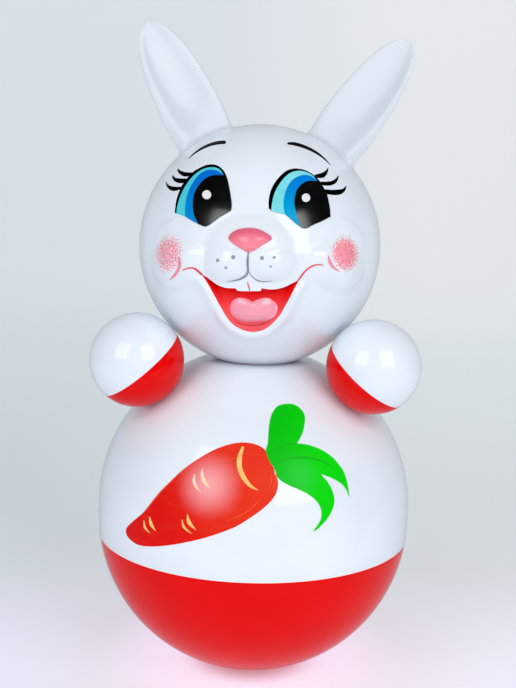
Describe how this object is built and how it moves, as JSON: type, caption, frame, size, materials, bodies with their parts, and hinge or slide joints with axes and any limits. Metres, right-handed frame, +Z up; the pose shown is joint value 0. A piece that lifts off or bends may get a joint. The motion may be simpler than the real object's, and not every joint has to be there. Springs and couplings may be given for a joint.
{
  "type": "roly poly toy",
  "caption": "Weighted roly poly hare toy with a round red and white body, ball hands, moulded painted face, leaf-shaped ears and a chime of swinging hammers inside.",
  "frame": {"origin": "middle of the flat under the bowl", "axes": "+Z up along the body's axis, -Y towards the face, +X towards the toy's own left hand"},
  "size_m": [0.1966, 0.196, 0.3991],
  "materials": {
    "red_shell": "glossy moulded red plastic",
    "white_shell": "glossy moulded white plastic with painted face and belly",
    "inner_plastic": "plain moulded ivory plastic",
    "cast_iron": "rough cast iron",
    "bright_steel": "bright turned steel",
    "brass": "drawn brass"
  },
  "bodies": {
    "toy": {"lower_body_shell": "red_shell", "left_hand_cup": "red_shell", "right_hand_cup": "red_shell", "neck_lock_ring": "red_shell", "upper_body_shell": "white_shell", "head_front_shell": "white_shell", "head_rear_cap": "white_shell", "left_ear": "white_shell", "right_ear": "white_shell", "left_hand_cap": "white_shell", "right_hand_cap": "white_shell", "chime_base": "inner_plastic", "neck_sleeve": "inner_plastic", "ballast_weight": "cast_iron", "ballast_washer": "bright_steel", "ballast_screw": "bright_steel", "chime_base_screws": "bright_steel", "chime_post": "bright_steel", "crown_nut": "bright_steel", "hammer_pins": "bright_steel", "ear_clips": "bright_steel", "hand_screws": "bright_steel", "hand_washers": "bright_steel", "hammer_crown": "brass", "chime_rod_1": "brass", "chime_rod_2": "brass", "chime_rod_3": "brass", "chime_rod_4": "brass"},
    "hammer_1": {"chime_hammer_1": "bright_steel"},
    "hammer_2": {"chime_hammer_2": "bright_steel"},
    "hammer_3": {"chime_hammer_3": "bright_steel"},
    "hammer_4": {"chime_hammer_4": "bright_steel"}
  },
  "joints": [
    {"name": "hammer_1_swing", "type": "hinge", "parent": "toy", "child": "hammer_1", "pos_m": [0.01697, 0.01697, 0.1137], "axis": [0.7071, -0.7071, 0], "range_deg": [-11.5, 11.5]},
    {"name": "hammer_2_swing", "type": "hinge", "parent": "toy", "child": "hammer_2", "pos_m": [-0.01697, 0.01697, 0.1137], "axis": [0.7071, 0.7071, 0], "range_deg": [-11.5, 11.5]},
    {"name": "hammer_3_swing", "type": "hinge", "parent": "toy", "child": "hammer_3", "pos_m": [-0.01697, -0.01697, 0.1137], "axis": [-0.7071, 0.7071, 0], "range_deg": [-11.5, 11.5]},
    {"name": "hammer_4_swing", "type": "hinge", "parent": "toy", "child": "hammer_4", "pos_m": [0.01697, -0.01697, 0.1137], "axis": [-0.7071, -0.7071, 0], "range_deg": [-11.5, 11.5]}
  ]
}
